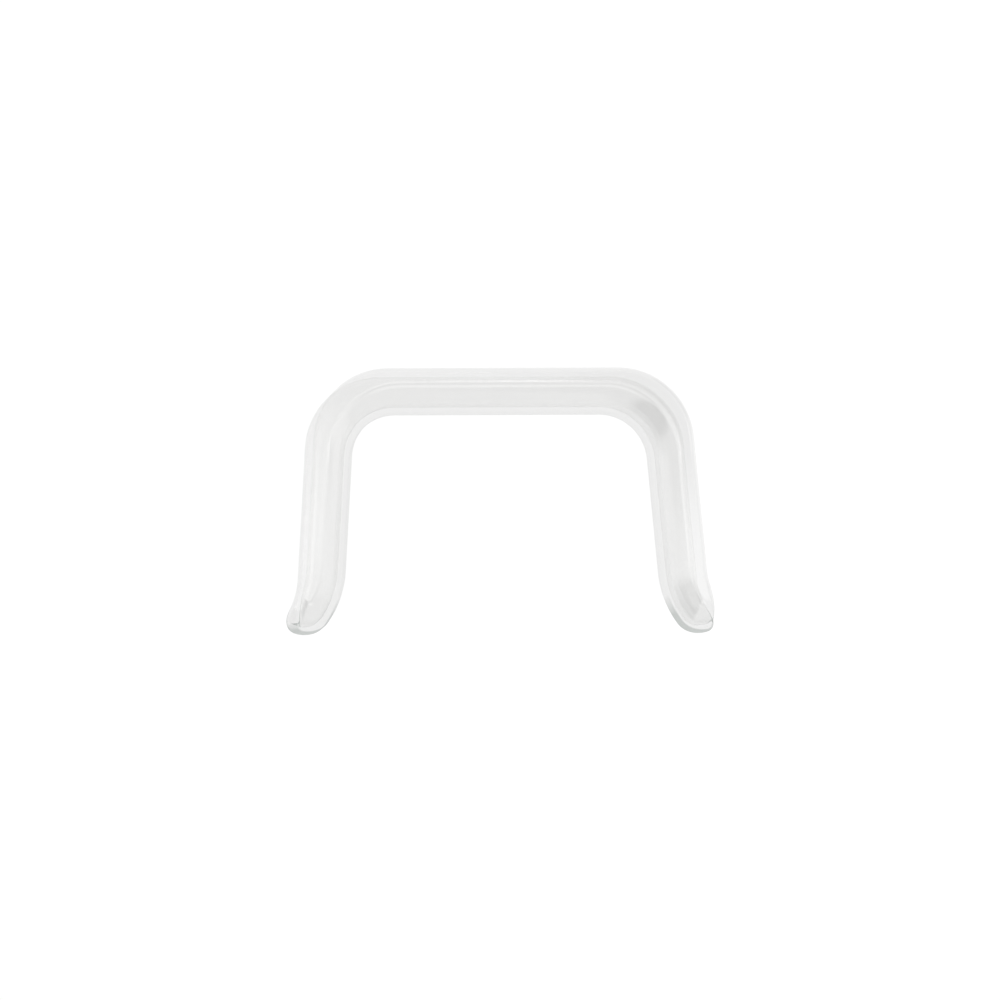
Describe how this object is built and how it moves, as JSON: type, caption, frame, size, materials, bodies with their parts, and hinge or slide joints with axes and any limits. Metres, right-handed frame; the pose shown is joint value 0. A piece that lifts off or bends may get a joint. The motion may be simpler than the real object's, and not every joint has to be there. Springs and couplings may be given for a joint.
{
  "type": "cheek retractor",
  "caption": "Bracket-shaped translucent plastic lip and cheek retractor: a channel of two flanges joined by a rounded web, its legs splayed, flared outward and closed by a rounded wall at their ends.",
  "frame": {"origin": "centre of the outline, on the outside of the back flange, where the retractor lies flat", "axes": "+X across the mouth towards the viewer's right, +Y from the open end of the bracket to its bar, +Z out of the mouth towards the viewer"},
  "size_m": [0.0674, 0.0406, 0.012],
  "materials": {
    "translucent_plastic": "polished, clear to faintly milky"
  },
  "bodies": {
    "root": {"lip_channel": "translucent_plastic"}
  },
  "joints": []
}
